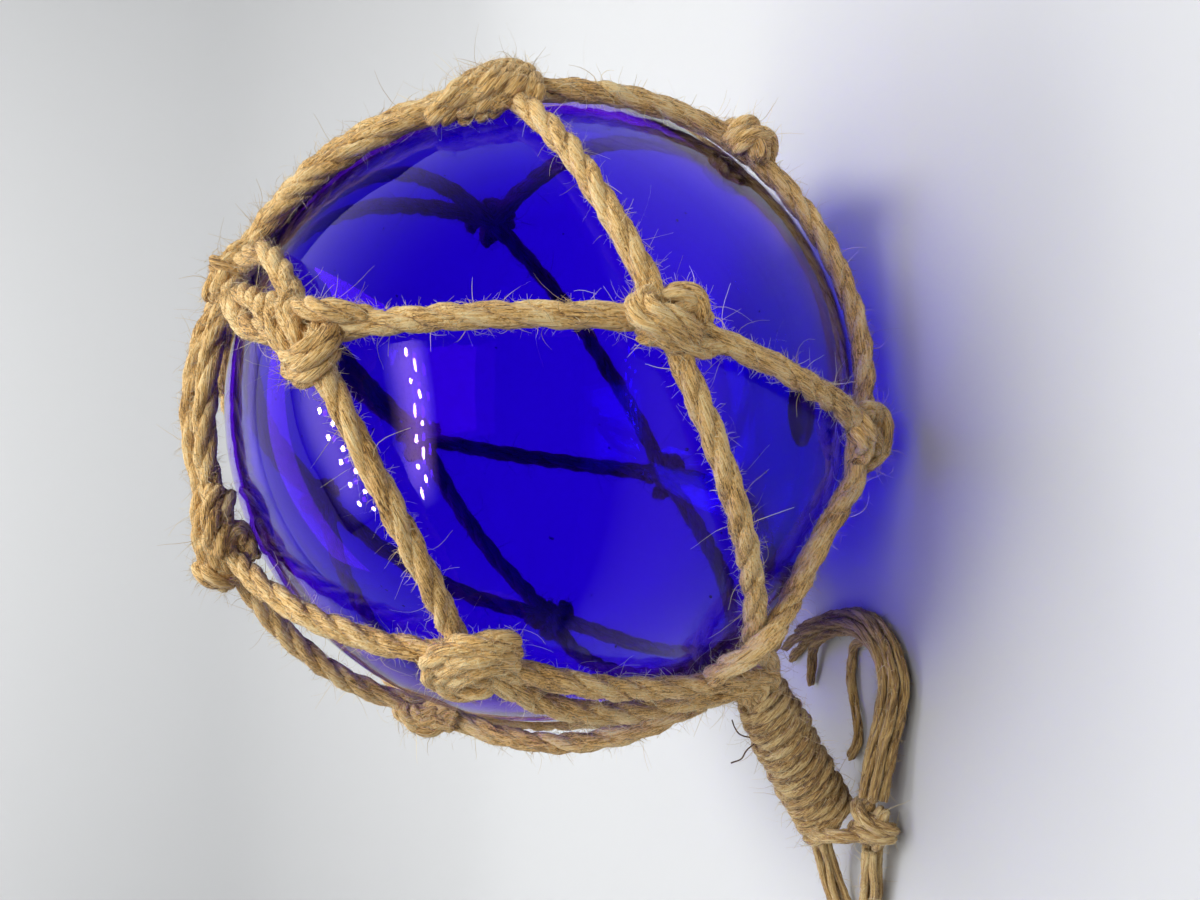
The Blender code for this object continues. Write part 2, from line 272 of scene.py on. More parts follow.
def sight(x, y):
    # the way from the eye through a place in the picture
    right, top, back = (np.array(way) for way in cameraWays())
    width, height = camera["picture"]
    pixels = width * camera["focal"] / camera["sensor"]
    return unit(right * (x - width / 2) / pixels + top * (height / 2 - y) / pixels - back)


def overGlass(x, y, lift, nearer=0.0, knot=None):
    # where that sight line meets the air so far over the glass, or passes nearest to it. A place of a knot on
    # the ball's rim is about as far off as that knot
    way, eye = sight(x, y), np.array(camera["eye"])
    middle = way @ (ballCentre - eye)
    past = np.linalg.norm(ballCentre - eye - way * middle)
    reach = middle - math.sqrt(max(0.0, (ballRadius + lift) ** 2 - past ** 2))
    if knot is not None:
        own = np.linalg.norm(knot - eye)
        reach = float(np.clip(reach, own - knotShape["rimDepth"], own + knotShape["rimDepth"]))
    return eye + way * (reach - nearer)


def atDepth(x, y, place, nearer):
    # where that sight line is as far off as a place, or nearer by some millimetres
    way, eye = sight(x, y), np.array(camera["eye"])
    back = np.array(cameraWays()[2])
    return eye + way * (((eye - place) @ back - nearer) / -(way @ back))


# Materials

juteRopeLook = {
    "shade": "#65451f", "dark": "#c2924c", "mid": "#f2c478", "pale": "#ffe3a6",
    "streak": (8.0, 0.45),     # mm along and across one bundle of fibres
    "fibre": (5.0, 0.17),      # a single fibre is 0.05 mm; drawn this coarse so that it shows
    "patch": 11.0,             # mm between darker stretches of bark
    # how far the painted shade in the grooves darkens the tone
    "groove": 0.065,
    "bump": 0.96,
    "tones": (0.37, 0.44, 0.50, 0.58),     # where the noise takes on each of the four colours
    "grooveShadeSpan": (0.50, 0.86),    # share of the rope's radius where the painted shade in the groove is full and where it ends
    "roughness": 0.86, "specular": 0.3, "sheen": (0.25, 0.5),
}
juteYarnLook = dict(juteRopeLook, shade="#5d421f", dark="#a57c42", mid="#cba668", pale="#e6cd92")
juteTailLook = dict(juteRopeLook, shade="#4a3318", dark="#86632f", mid="#ad884c", pale="#cfae70")


def layJute(name, look):
    # jute, spun and laid: matt straw-gold bast with darker streaks that run along the rope, so that
    # it looks soft and combed rather than smooth
    made, tree, shader = blankMaterial(name)
    lay = addNode(tree, "ShaderNodeAttribute", attribute_name="lay").outputs["Vector"]
    scaled = {}
    for key in ("streak", "fibre"):
        along, across = look[key]
        scaled[key] = addNode(tree, "ShaderNodeVectorMath", {0: lay, 1: (1 / along, 1 / across, 1 / across)},
                              operation="MULTIPLY").outputs[0]
    streak = addNode(tree, "ShaderNodeTexNoise", {"Vector": scaled["streak"], "Scale": 1.0, "Detail": 2.0})
    fibre = addNode(tree, "ShaderNodeTexNoise", {"Vector": scaled["fibre"], "Scale": 1.0, "Detail": 1.0})
    patch = addNode(tree, "ShaderNodeTexNoise", {"Vector": lay, "Scale": 1 / look["patch"], "Detail": 3.0})
    both = addNode(tree, "ShaderNodeMath", {0: streak.outputs["Fac"], 1: fibre.outputs["Fac"]},
                   operation="ADD")
    tone = addNode(tree, "ShaderNodeMath", {0: both.outputs[0], 1: patch.outputs["Fac"]}, operation="ADD")
    tone = addNode(tree, "ShaderNodeMath", {0: tone.outputs[0], 1: 1 / 3}, operation="MULTIPLY")
    # painted shade in the grooves between the strands: the tone is darker where the rope's surface lies nearer its
    # middle
    proud = addNode(tree, "ShaderNodeAttribute", attribute_name="proud").outputs["Fac"]
    deep, level = look["grooveShadeSpan"]
    groove = addNode(tree, "ShaderNodeMapRange", {"Value": proud, "From Min": deep, "From Max": level,
                                                  "To Min": -look["groove"], "To Max": 0.0})
    tone = addNode(tree, "ShaderNodeMath", {0: tone.outputs[0], 1: groove.outputs["Result"]}, operation="ADD")
    colour = addNode(tree, "ShaderNodeValToRGB", {"Fac": tone.outputs[0]},
                     stops=list(zip(look["tones"], (look["shade"], look["dark"], look["mid"], look["pale"]))))
    tree.links.new(colour.outputs["Color"], shader.inputs["Base Color"])
    height = addNode(tree, "ShaderNodeMath", {0: both.outputs[0], 1: 0.5}, operation="MULTIPLY")
    bump = addNode(tree, "ShaderNodeBump", {"Height": height.outputs[0], "Strength": 1.0,
                                            "Distance": look["bump"] * mm})
    tree.links.new(bump.outputs["Normal"], shader.inputs["Normal"])
    shader.inputs["Roughness"].default_value = look["roughness"]
    shader.inputs["Specular IOR Level"].default_value = look["specular"]
    shader.inputs["Sheen Weight"].default_value = look["sheen"][0]
    shader.inputs["Sheen Roughness"].default_value = look["sheen"][1]
    return made


fibreLook = {
    "pale": "#eadcb4", "shade": "#a98a55",
    "tones": (0.3, 0.7), "mottle": 0.7,
    "roughness": 0.55, "specular": 0.4,
}
barkLook = dict(fibreLook, pale="#5a3d22", shade="#3b2412")


def looseFibre(name, look):
    # single bast fibres: thin, pale and a little glossy, so they light up against the glass
    made, tree, shader = blankMaterial(name)
    lay = addNode(tree, "ShaderNodeAttribute", attribute_name="lay").outputs["Vector"]
    tint = addNode(tree, "ShaderNodeTexNoise", {"Vector": lay, "Scale": look["mottle"], "Detail": 1.0})
    colour = addNode(tree, "ShaderNodeValToRGB", {"Fac": tint.outputs["Fac"]},
                     stops=list(zip(look["tones"], (look["shade"], look["pale"]))))
    tree.links.new(colour.outputs["Color"], shader.inputs["Base Color"])
    shader.inputs["Roughness"].default_value = look["roughness"]
    shader.inputs["Specular IOR Level"].default_value = look["specular"]
    return made


glassLook = {
    "tint": (0.115, 0.004, 0.84, 1.0),   # linear share of the light that one wall lets through
    "ior": 1.5,
    # colour of the reflections, since a camera shows deep blue without their white
    "sheen": (0.44, 0.22, 0.80, 1.0),
    "roughness": 0.0,
    "cord": (60.0, 22.0, 60.0),    # mm between the slow ripples that blowing leaves, and how deep they are
    "cordDepth": (0.25, 0.4),
}


def blownGlass():
    # cobalt blue glass, free blown: clear, deep violet blue through two walls, paler and glossy at the rim
    made, tree, shader = blankMaterial("cobalt_blown_glass")
    shader.inputs["Base Color"].default_value = glassLook["tint"]
    shader.inputs["Transmission Weight"].default_value = 1.0
    shader.inputs["IOR"].default_value = glassLook["ior"]
    shader.inputs["Specular Tint"].default_value = glassLook["sheen"]
    shader.inputs["Roughness"].default_value = glassLook["roughness"]
    place = addNode(tree, "ShaderNodeTexCoord").outputs["Object"]
    ripple = tuple(1 / (size * mm) for size in glassLook["cord"])
    drawn = addNode(tree, "ShaderNodeVectorMath", {0: place, 1: ripple}, operation="MULTIPLY")
    cord = addNode(tree, "ShaderNodeTexNoise", {"Vector": drawn.outputs[0], "Scale": 1.0, "Detail": 1.0})
    strength, depth = glassLook["cordDepth"]
    bump = addNode(tree, "ShaderNodeBump", {"Height": cord.outputs["Fac"], "Strength": strength,
                                            "Distance": depth * mm})
    tree.links.new(bump.outputs["Normal"], shader.inputs["Normal"])
    return made


ropeJute = layJute("three_strand_jute", juteRopeLook)
yarnJute = layJute("whipping_jute_cord", juteYarnLook)
tailJute = layJute("unlaid_jute_yarn", juteTailLook)
fibreJute = looseFibre("loose_jute_fibre", fibreLook)
glass = blownGlass()
print("materials made")


# Loose fibres

fuzz = {
    "sunk": 0.86,           # share of the rope's radius that a hair starts at
    "clear": (0.25, 0.2),   # mm at least from its root to the glass and to the floor
    "shorter": 2.2,         # how far the short ones outnumber the long
    "wild": (0.25, 0.10),   # how far its first heading and each later one stray
    "gap": 0.12,
    "uneven": (0.7, 1.3), "tip": 0.3,
}
fuzzKinds = {
    "long": {"perCm": 22, "length": (2.0, 10.0), "points": 7, "curl": 0.42, "lean": (0.15, 0.9), "radius": 0.060},
    "short": {"perCm": 102, "length": (0.7, 2.8), "points": 3, "curl": 0.45, "lean": (0.15, 0.75), "radius": 0.050},
    "fine": {"perCm": 84, "length": (0.8, 3.4), "points": 3, "curl": 0.50, "lean": (0.05, 0.40), "radius": 0.045},
}


def growFuzz(name, lines, kind, rng, share=1.0):
    # hairs that stand off the ropes, rooted just under their surface, clear of the glass and the floor.
    # Each is a flat ribbon that narrows to its tip, since its width is under a pixel
    spec = fuzzKinds[kind]
    roots, ways, normals = [], [], []
    for line, radius in lines:
        gone = distances(line)
        count = int(gone[-1] / 10 * spec["perCm"] * share)
        if not count:
            continue
        way, up, side = carriedFrames(line, np.array([0.31, 0.22, 0.92]))
        pick = rng.integers(0, len(line), count)
        angle = rng.uniform(0, 2 * math.pi, (count, 1))
        normal = up[pick] * np.cos(angle) + side[pick] * np.sin(angle)
        size = np.broadcast_to(radius, len(line))[pick][:, None]
        roots.append(line[pick] + normal * size * fuzz["sunk"])
        ways.append(way[pick] * rng.choice([-1, 1], (count, 1)))
        normals.append(normal)
    root, way, normal = (np.vstack(rows) for rows in (roots, ways, normals))
    offGlass, offFloor = fuzz["clear"]
    free = (np.linalg.norm(root - ballCentre, axis=1) > ballRadius + offGlass) & (root[:, 2] > offFloor)
    root, way, normal = root[free], way[free], normal[free]
    count = len(root)
    low, high = spec["length"]
    length = low + (high - low) * rng.uniform(0, 1, (count, 1)) ** fuzz["shorter"]
    lean = rng.uniform(*spec["lean"], (count, 1))
    heading = normal * lean + way * (1.1 - lean) + rng.normal(0, fuzz["wild"][0], (count, 3))
    heading /= np.linalg.norm(heading, axis=1, keepdims=True)
    curl = rng.normal(0, spec["curl"], (count, 3))
    step = length / (spec["points"] - 1)
    line = [root]
    for _ in range(spec["points"] - 1):
        heading = heading + curl + rng.normal(0, fuzz["wild"][1], (count, 3))
        heading /= np.linalg.norm(heading, axis=1, keepdims=True)
        line.append(keepOff(line[-1] + heading * step, fuzz["gap"]))
    line = np.stack(line, axis=1)
    ways = np.gradient(line, axis=1)
    ways /= np.linalg.norm(ways, axis=2, keepdims=True) + 1e-9
    across = np.cross(ways, rng.normal(0, 1, (count, 1, 3)))
    across /= np.linalg.norm(across, axis=2, keepdims=True) + 1e-9
    thick = spec["radius"] * rng.uniform(*fuzz["uneven"], (count, 1, 1))
    thick = thick * np.linspace(1, fuzz["tip"], spec["points"])[None, :, None]
    edges = np.stack([line + across * thick, line - across * thick], axis=2)
    index = np.arange(count * spec["points"] * 2).reshape(count, spec["points"], 2)
    faces = np.stack([index[:, :-1, 0], index[:, :-1, 1], index[:, 1:, 1], index[:, 1:, 0]], axis=-1)
    lay = np.broadcast_to(rng.uniform(0, 90, (count, 1, 1, 3)), edges.shape).astype(np.float32)
    mesh = makeMesh(name, edges.reshape(-1, 3), faces.reshape(-1, 4).tolist(),
                    {"lay": ("FLOAT_VECTOR", "vector", lay.ravel())})
    print(name, count)
    return addPiece(name, mesh, fibreJute)


# Cords: the hanging loop and the tail's yarns, whose routes are the ones that the CAD has

gather = (-153, -31)
neck = {
    "gatherRadius": 8.6, "diameter": 15.8, "length": 34.5,
    "start": 9.5, "endHeight": 9.2, "swing": 38.0,
}
endKnot = {
    "size": 9.4, "height": 6.0, "space": 1.3, "back": 8.0, "turn": 4.6,
    "scale": 0.80,     # its turns against those of the net's knots
    "turns": 2, "along": (1, -0.25, 0), "out": (0, -0.5, 0.87),
    "clear": 1.06,     # share of a turn's radius that its middle is off the floor at least
    # the whipping's end, which runs into it: places in the picture, mm nearer than a line from the neck's end
    # to the knot
    "bridge": [(806, 826, 1), (820, 835, 5), (840, 836, 7.5), (858, 836, 6), (874, 836, 3), (888, 832, -1)],
}


def neckLine():
    start = ballCentre + direction(gather) * (ballRadius + clearance + neck["gatherRadius"] * 0.75)
    reach = neck["start"] + neck["length"]
    drop = (start[2] - neck["endHeight"]) / reach
    level = math.sqrt(1 - drop * drop)
    swing = math.radians(gather[0] - neck["swing"])
    axis = np.array([level * math.cos(swing), level * math.sin(swing), -drop])
    return start, axis, start + axis * reach


neckStart, neckAxis, neckEnd = neckLine()


def endKnotPlace():
    sideways = unit(np.array([neckAxis[1], -neckAxis[0], 0]))
    space = neck["diameter"] / 2 + endKnot["size"] / 2 + endKnot["space"]
    centre = neckEnd - neckAxis * endKnot["back"] - sideways * space
    centre[2] = endKnot["height"]
    return centre


endKnotCentre = endKnotPlace()

loop = {
    "diameter": 5.4,
    "yarns": 5,
    "yarnRadius": 0.98,
    "route": [
        (-105.5, -19.0, 8.8), (-112.0, -17.6, 6.6), (-118.6, -18.2, 4.6), (-123.2, -21.0, 3.5),
        (-125.0, -25.4, 3.1), (-122.8, -29.8, 3.1), (-117.4, -33.0, 3.3), (-110.6, -35.2, 3.9),
        (-104.6, -36.6, 4.8),
    ],
    "step": 0.9,
    "lead": 2.0,               # mm straight on from the neck before the route
    "inset": 1.0, "proud": 0.7,
    "stray": (16.0, 0.35), "spread": (12.0, 0.12),     # how far apart, in mm, and how much the yarns wander
    "ply": {"strands": 1, "strandShare": 1.0, "lay": 14.0, "loose": 0.0, "uneven": 0.10, "ridges": 0.12,
            "sides": 12},
    "fuzz": 1.6,
}
tail = {
    "diameter": 2.1, "gap": 0.4, "step": 0.6,
    "middle": [
        (-88.4, -40.4, 6.4), (-82.0, -41.4, 5.6), (-75.3, -42.6, 4.9), (-68.0, -44.6, 4.3),
        (-61.0, -45.2, 4.0), (-55.0, -41.6, 4.0), (-51.6, -35.2, 4.0), (-51.0, -27.8, 4.0),
        (-52.4, -20.4, 4.0), (-54.6, -13.0, 4.0), (-57.2, -5.6, 4.0), (-60.2, 1.6, 4.0),
        (-64.0, 8.4, 4.0), (-68.6, 14.6, 4.0),
    ],
    # place in the bundle (0 is its middle, 1 to 6 go round it), points shared, own points after them
    "yarns": [
        ("tail_yarn_middle", 0, 12, []),
        ("tail_yarn_top", 1, 13, []),
        ("tail_yarn_upper_inner", 2, 10, [(-62.0, -4.0, 3.8), (-67.2, -0.4, 2.2), (-72.8, 2.2, 1.5)]),
        ("tail_yarn_lower_inner", 3, 7, [
            (-57.4, -23.4, 1.8), (-63.0, -20.8, 1.5), (-69.0, -21.2, 1.5), (-75.0, -23.8, 1.5),
            (-81.0, -23.6, 1.5), (-86.2, -20.0, 1.5)]),
        ("tail_yarn_bottom", 4, 14, []),
        ("tail_yarn_lower_outer", 5, 13, []),
        ("tail_yarn_upper_outer", 6, 12, []),
    ],
    "yarnRadius": 1.3,
    "ply": {"strands": 3, "strandShare": 0.56, "lay": 34.0, "loose": 1.1, "uneven": 0.16, "ridges": 0.16,
            "sides": 9, "taper": (0, 2.0)},
    "fuzz": 0.5,
}


def loopRoute():
    sideways = unit(np.array([-neckAxis[1], neckAxis[0], 0]))
    start = (neckEnd + neckAxis * (clearance + loop["proud"])
             - sideways * (neck["diameter"] / 2 - loop["diameter"] / 2 - loop["inset"]))
    way = unit(np.array(loop["route"][-1]) - endKnotCentre)
    finish = endKnotCentre + way * (endKnot["size"] / 2 + endKnot["turn"] / 4 + clearance)
    return [start, start + neckAxis * loop["lead"]] + [np.array(p) for p in loop["route"]] + [finish]


def yarnRoute(slot, shared, own):
    middle = [np.array(p) for p in tail["middle"]]
    route = []
    for index in range(shared):
        before, after = middle[max(0, index - 1)], middle[min(len(middle) - 1, index + 1)]
        way = unit(after - before)
        outward = unit(np.array([way[1], -way[0], 0]))
        turn = math.radians(60 * slot + 30)
        spread = (tail["diameter"] + tail["gap"]) if slot else 0
        route.append(middle[index] + spread * (math.cos(turn) * outward
                                               + math.sin(turn) * np.array([0, 0, 1])))
    return route + [np.array(p) for p in own]


def makeLoop(rng):
    # a hank of soft yarns that lie side by side, a little apart and uneven
    line = smoothLine(loopRoute(), loop["step"])
    ways, ups, sides = carriedFrames(line, np.array([0.0, 0.0, 1.0]))
    gone = distances(line)
    tubes = []
    for yarn in range(loop["yarns"]):
        every, much = loop["stray"]
        turn = 2 * math.pi * yarn / loop["yarns"] + wander(rng, gone, every)[:, 0] * much
        every, much = loop["spread"]
        out = (loop["diameter"] / 2 - loop["yarnRadius"]) * (1 + wander(rng, gone, every)[:, 0] * much)
        own = line + ups * (out * np.cos(turn))[:, None] + sides * (out * np.sin(turn))[:, None]
        tubes += layRope(own, ups[0], loop["yarnRadius"], loop["ply"], rng)
    piece = addPiece("hanging_loop_hank", meshFromTubes("hanging_loop_hank", tubes), yarnJute,
                     ["hanging_loop"])
    fibres = growFuzz("hanging_loop_fibres", [(line, loop["diameter"] / 2)], "long", rng,
                      loop["fuzz"])


def makeTail(rng):
    for node, slot, shared, own in tail["yarns"]:
        line = smoothLine(yarnRoute(slot, shared, own), tail["step"])
        tubes = layRope(line, np.array([0.0, 0.0, 1.0]), tail["yarnRadius"], tail["ply"], rng)
        piece = addPiece(node + "_twine", meshFromTubes(node + "_twine", tubes), tailJute, [node])
        fibres = growFuzz(node + "_fibres", [(line, tail["yarnRadius"])], "short", rng, tail["fuzz"])


makeLoop(np.random.default_rng(11))
makeTail(np.random.default_rng(12))
print("cords made")


# Glass ball

ball = {
    "wall": 3.8,
    "wallUneven": (0.5, 8),      # mm that the blown wall varies by, and the seed of its swells
    "skinUneven": (0.05, 5),
    "swells": (6, 2.6),          # how many waves are added up, and about how many lie across the ball
    "segments": (192, 96),
    "bubbles": 90,
    "bubbleRadius": (0.10, 0.34),
    "bubbleDrawn": 1.2,          # how far one is drawn out at most
    "bubbleSkin": (0.8, 1.2),    # mm of glass outside and inside it
}


def wavy(way, much, seed):
    # slow swells over the ball
    rng = np.random.default_rng(seed)
    total = np.zeros(len(way))
    for _ in range(ball["swells"][0]):
        total += np.sin(way @ rng.normal(0, ball["swells"][1], 3) + rng.uniform(0, 6.3))
    return total / 4 * much


def inOrder(corners, faces):
    # Blender lists a new sphere's corners and faces in no fixed order; sorted, they are the same in every run
    order = np.lexsort(np.round(corners, 5).T)
    rank = np.argsort(order)
    return corners[order], sorted([int(rank[k]) for k in face] for face in faces)


def makeBall(rng):
    made = bmesh.new()
    bmesh.ops.create_uvsphere(made, u_segments=ball["segments"][0], v_segments=ball["segments"][1], radius=1.0)
    mesh = bpy.data.meshes.new("glass_float")
    made.to_mesh(mesh)
    made.free()
    way, faces = inOrder(np.array([vert.co for vert in mesh.vertices]),
                         [list(face.vertices) for face in mesh.polygons])
    outer = ballCentre + way * (ballRadius + wavy(way, *ball["skinUneven"]))[:, None]
    outer[:, 2] = np.maximum(outer[:, 2], 0)
    bore = ballRadius - ball["wall"] + wavy(way, *ball["wallUneven"])
    inner = ballCentre + way * bore[:, None]
    corners = [outer, inner]
    faces += [[k + len(way) for k in reversed(face)] for face in faces]
    used = 2 * len(way)
    made = bmesh.new()
    bmesh.ops.create_icosphere(made, subdivisions=2, radius=1.0)
    made.verts.ensure_lookup_table()
    made.verts.index_update()
    small, smallFaces = inOrder(np.array([vert.co for vert in made.verts]),
                                [[vert.index for vert in face.verts] for face in made.faces])
    made.free()
    for _ in range(ball["bubbles"]):
        # seeds: bubbles in the wall, drawn out a little along it
        at = unit(rng.normal(0, 1, 3))
        size = rng.uniform(*ball["bubbleRadius"])
        drawn = unit(np.cross(at, rng.normal(0, 1, 3)))
        shape = small * size + drawn * (small @ drawn)[:, None] * size * rng.uniform(0, ball["bubbleDrawn"])
        outside, inside = ball["bubbleSkin"]
        corners.append(ballCentre + at * (ballRadius - rng.uniform(outside, ball["wall"] - inside)) + shape)
        faces += [[k + used for k in reversed(face)] for face in smallFaces]
        used += len(small)
    mesh.clear_geometry()
    mesh.from_pydata((np.vstack(corners) * mm).tolist(), [], faces)
    mesh.shade_smooth()
    addPiece("blown_ball", mesh, glass, ["glass_ball"])


makeBall(np.random.default_rng(21))
print("glass made")


# The net

net = {
    "radius": 2.6,
    "rope": {"strands": 3, "strandShare": 0.62, "lay": 25.0, "loose": 0.7, "uneven": 0.07, "ridges": 0.11,
             "sides": 11},
    "step": 1.25,
    "sway": 0.35,
    "knots": {
        "crown": ((-20, 66), "front_top", 4),
        "front_top": ((-78, 45), "front_left", 3),
        "right_top": ((-34, 12), "front_middle", 4),
        "back_right": ((41, 5), "back_low", 2),
        "back_top": ((95, 20), "back_left", 2),
        "back_left_top": ((118, 46), "back_left", 2),
        "left_top": ((-161, 67), "left_middle", 2),
        "front_middle": ((-80, -5), "gather", 2),
        "right_low": ((-33, -29), "front_low", 2),
        "back_low": ((108, -40), "gather", 2),
        "back_left": ((142, -8), "gather", 2),
        "left_middle": ((178, 20), "gather", 2),
        "front_left": ((-132, 20), "gather", 3),
        "front_low": ((-96, -49), "gather", 2),
    },
    # strands that run in pairs from the crown, and how far each strays sideways, in degrees
    "pairs": {
        "front_top": (6.0, -4.5), "right_top": (2.3, -2.3), "back_right": (1.0, -9.0),
        "back_top": (-4.0, -8.5), "back_left_top": (2.3, -2.3), "left_top": (-3.4, 3.4),
    },
    "strands": [
        ("front_top", "front_middle", None), ("front_top", "front_left", (-108, 31)),
        ("right_top", "front_middle", None), ("right_top", "right_low", None),
        ("back_right", "right_low", None), ("back_right", "back_low", None),
        ("back_top", "back_low", None), ("back_top", "back_left", None),
        ("back_left_top", "back_left", None), ("back_left_top", "left_middle", None),
        ("left_top", "left_middle", None), ("left_top", "front_left", None),
        ("front_middle", "front_low", None), ("right_low", "front_low", (-56, -52)),
    ],
    "gathered": [
        ("front_middle", (-111.6, -19.1)), ("front_low", None), ("back_low", None), ("back_low", (152, -62)),
        ("back_left", (166, -15)), ("back_left", (165, -26)), ("left_middle", (-170, -4)),
        ("left_middle", (176, -10)), ("front_left", (-139, -6)), ("front_left", (-148, -5)),
    ],
    "lifts": {("crown", "left_top"): 2.6, ("left_top", "left_middle"): 1.2, ("left_middle", "gather"): 2.6},
    "slack": {"left_top": 2.6},      # mm that a knot stands off the glass
}
# how the strands leave the glass and lie down along the neck
gathering = {
    "leave": 15.0,         # mm before the neck
    "leaveCrossing": 46.0,
    "every": 6,            # the points of a strand that its route keeps
    "route": ((-1.5, 5.4), (2.0, 4.0), (5.5, 3.0), (12.0, 2.8), (26.0, 2.9), (36.0, 2.9), (42.5, 2.5)),
    "near": 12,            # mm from the neck's middle within which a strand is pressed thinner
    "pressed": ((-7, -1, 4, 9), (1.0, 0.86, 0.6, 0.52)),
    # the rope that crosses in front of the others: places in the picture, mm nearer than the neck
    "crossing": [(826, 530, 19), (805, 571, 20.5), (790, 602, 22), (777, 626, 24.5), (765, 642, 25.5),
                 (749, 655, 25), (731, 665, 22), (714, 676, 16), (703, 688, 8), (700, 699, 2)],
}


def placeOf(name):
    return direction(gather if name == "gather" else net["knots"][name][0])


def overBall(names, via=None, stray=0.0, lifted=1.0, rng=None):
    # a rope's middle line over the glass from one knot to another
    start, end = (placeOf(name) for name in names)
    lift = net["lifts"].get(names, 0.0) * lifted
    slack = [net["slack"].get(name, 0.0) for name in names]
    t = np.linspace(0, 1, 60)
    way = between(start, end, t)
    if via is not None:
        middle = between(start, end, np.array([0.5]))
        way = way + (direction(via) - middle) * (4 * t * (1 - t))[:, None]
        way /= np.linalg.norm(way, axis=1)[:, None]
    sideways = unit(np.cross(start, end))
    bow = np.sin(math.pi * t)
    sway = wander(rng, t * 60, 18)[:, 0] * net["sway"] / ballRadius * bow
    way = way + sideways * (math.radians(stray) * bow + sway)[:, None]
    way /= np.linalg.norm(way, axis=1)[:, None]
    level = ballRadius + clearance + net["radius"]
    return ballCentre + way * (level + lift * bow + slack[0] * (1 - t) + slack[1] * t)[:, None]


def gatheredLines(rng):
    # the strands that run into the neck: each leaves the glass and lies down along the neck's middle
    lines = []
    for index, (name, via) in enumerate(net["gathered"]):
        over = overBall((name, "gather"), via, rng=rng)
        gone = distances(over)
        if name == "front_low":
            # this one crosses in front of the others before it goes round behind the neck
            band = [atDepth(x, y, neckStart, nearer) for x, y, nearer in gathering["crossing"]]
            kept = over[gone < gone[-1] - gathering["leaveCrossing"]][::gathering["every"]]
            crossing = smoothLine(list(kept) + band, net["step"])
            continue
        near = over[gone < gone[-1] - gathering["leave"]]
        spoke = near[-1] - neckStart
        spoke = spoke - neckAxis * (spoke @ neckAxis)
        lines.append((math.atan2(spoke @ neckSide, spoke @ neckTop), near))
    lines.sort(key=lambda row: row[0])
    made = [(crossing, net["radius"])]
    for place, (_, near) in enumerate(lines):
        turn = -math.pi + 2 * math.pi * (place + 0.5) / len(lines)
        spoke = neckTop * math.cos(turn) + neckSide * math.sin(turn)
        points = list(near[::gathering["every"]])
        points += [neckStart + neckAxis * along + spoke * out for along, out in gathering["route"]]
        line = smoothLine(points, net["step"])
        past = (line - neckStart) @ neckAxis
        close = np.linalg.norm(line - neckStart - past[:, None] * neckAxis, axis=1) < gathering["near"]
        shrink = np.interp(past, *gathering["pressed"])
        radius = net["radius"] * np.where(close, shrink, 1.0)
        made.append((line, np.minimum.accumulate(radius)))
    return made


neckTop = unit(np.array([0, 0, 1.0]) - neckAxis * neckAxis[2])
neckSide = np.cross(neckAxis, neckTop)


def netLines(rng):
    lines = []
    for name, strays in net["pairs"].items():
        # the lower rope of a pair lies on the glass
        lines += [overBall(("crown", name), stray=stray, lifted=1 - index, rng=rng)
                  for index, stray in enumerate(strays)]
    for start, end, via in net["strands"]:
        lines.append(overBall((start, end), via, rng=rng))
    return [(evenLine(line, net["step"]), net["radius"]) for line in lines]


knotShape = {
    "width": 10.0, "height": 8.2, "length": 12.0, "pitch": 4.5, "radius": 2.3,
    "rope": {"strands": 3, "strandShare": 0.60, "lay": 20.0, "loose": 0.4, "uneven": 0.08, "ridges": 0.11,
             "sides": 11, "taper": (2.6, 2.6)},
    "step": 0.75,
    "slant": ((-10, 14), 5),     # degrees that even and odd turns lie across, and how much that varies
    "past": 0.08,                # how much more than half round a turn goes, at each end
    "steps": 9,
    "bulge": 1.2, "sink": 0.55, "wide": 0.3,
    "heart": (-0.5, -0.3, 0, 0.3, 0.5), "heartApart": 2.3, "heartHigh": 0.6, "heartSunk": 1.2,
    "thick": (0.95, 1.08), "drawnThick": (0.95, 1.06),
    "clear": 0.9,                # share of its radius that a drawn turn's middle is off the glass at least
    # the knots that face the eye, each turn as places in the picture, mm over the glass and, where given, mm
    # nearer to the eye; those on the ball's rim are kept about as far off as the CAD's knot
    "rim": ("crown", "left_top", "left_middle", "right_top", "front_low"),
    "rimDepth": 5,
}
